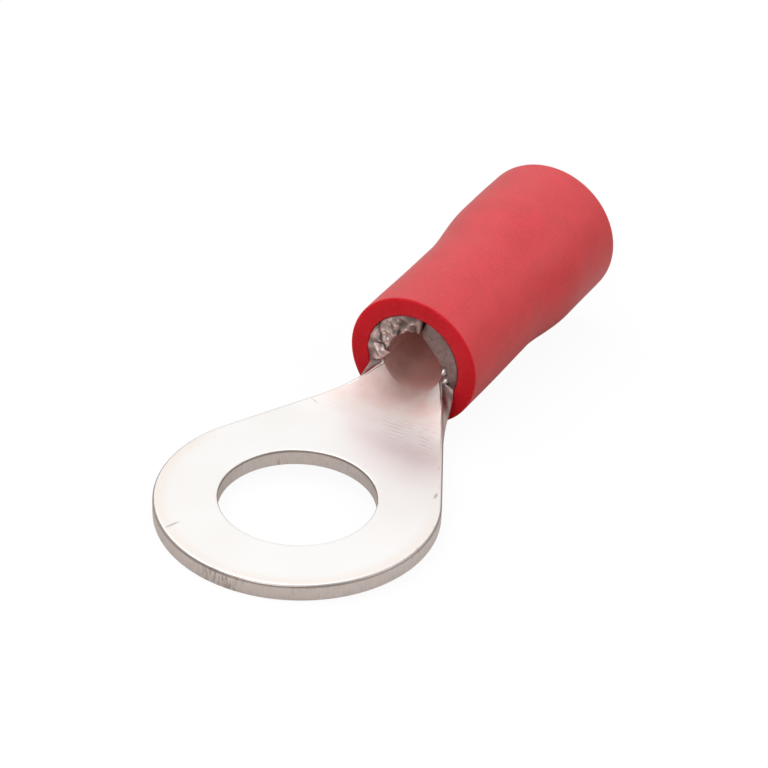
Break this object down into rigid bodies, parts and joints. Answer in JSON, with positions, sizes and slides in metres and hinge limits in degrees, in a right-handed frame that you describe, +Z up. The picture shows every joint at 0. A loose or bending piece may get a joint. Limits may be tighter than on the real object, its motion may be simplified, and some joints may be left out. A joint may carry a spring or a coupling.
{
  "type": "ring terminal",
  "caption": "Insulated ring crimp terminal: flat ring tongue with a stud hole, narrowing to a rolled wire barrel inside a flared red plastic sleeve.",
  "frame": {"origin": "centre of the stud hole at the ring's underside", "axes": "+Z up through the stud hole, +Y along the barrel towards the wire entry, +X to the right"},
  "size_m": [0.0096, 0.0234, 0.0055],
  "materials": {
    "tinned_copper": "bright tin plate over copper, with fine rolling lines and light scratches",
    "sleeve_plastic": "matt, slightly translucent soft PVC"
  },
  "bodies": {
    "root": {"terminal": "tinned_copper", "sleeve": "sleeve_plastic"}
  },
  "joints": []
}
